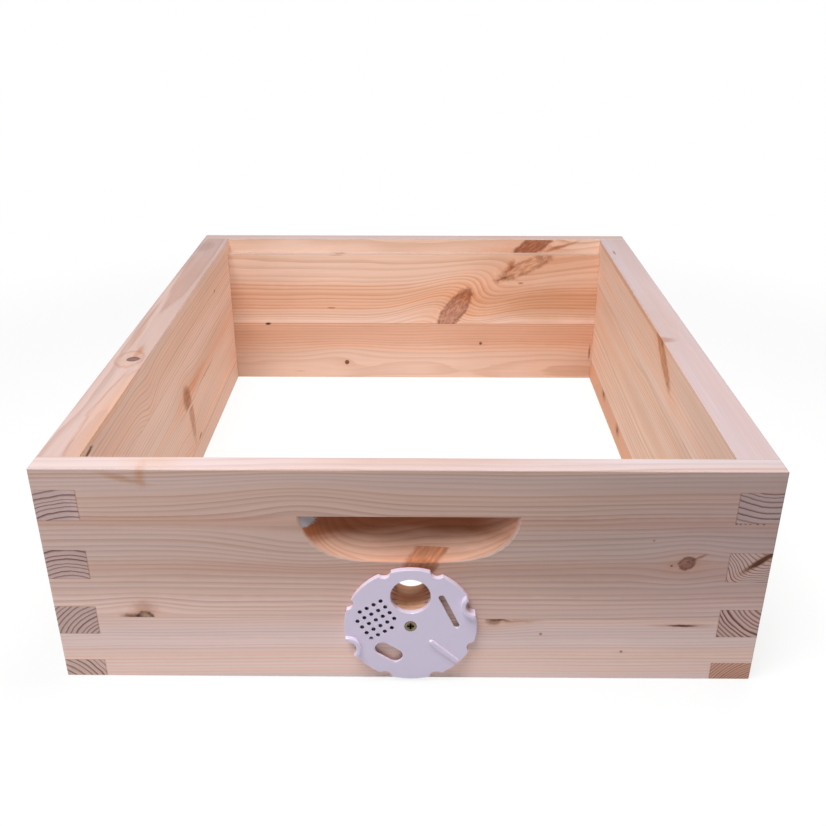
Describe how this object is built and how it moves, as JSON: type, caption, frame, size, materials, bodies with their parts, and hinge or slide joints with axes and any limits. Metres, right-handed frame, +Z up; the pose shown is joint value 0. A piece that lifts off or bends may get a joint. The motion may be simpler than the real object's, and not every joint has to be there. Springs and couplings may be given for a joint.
{
  "type": "hive box",
  "caption": "Shallow pine hive box, open above and below, with box-jointed corners, frame rests, scooped handholds and a turning plastic entrance disc on the front wall.",
  "frame": {"origin": "middle of the box's bottom opening, on the plane that it stands on", "axes": "+X to the right seen from the front, +Y from the front wall with the disc to the back wall, +Z up"},
  "size_m": [0.425, 0.5215, 0.146],
  "materials": {
    "pine": "planed, unfinished",
    "disc_plastic": "satin moulded",
    "yellow_zinc": "yellow zinc plated"
  },
  "bodies": {
    "box": {"front_stave_1": "pine", "front_stave_2": "pine", "back_stave_1": "pine", "back_stave_2": "pine", "left_stave_1": "pine", "left_stave_2": "pine", "left_stave_3": "pine", "left_stave_4": "pine", "right_stave_1": "pine", "right_stave_2": "pine", "right_stave_3": "pine", "right_stave_4": "pine", "disc_screw": "yellow_zinc"},
    "disc": {"entrance_disc": "disc_plastic"}
  },
  "joints": [
    {"name": "disc_turn", "type": "hinge", "parent": "box", "child": "disc", "pos_m": [0.002, -0.2595, 0.042], "axis": [0, 1, 0], "continuous": true}
  ]
}
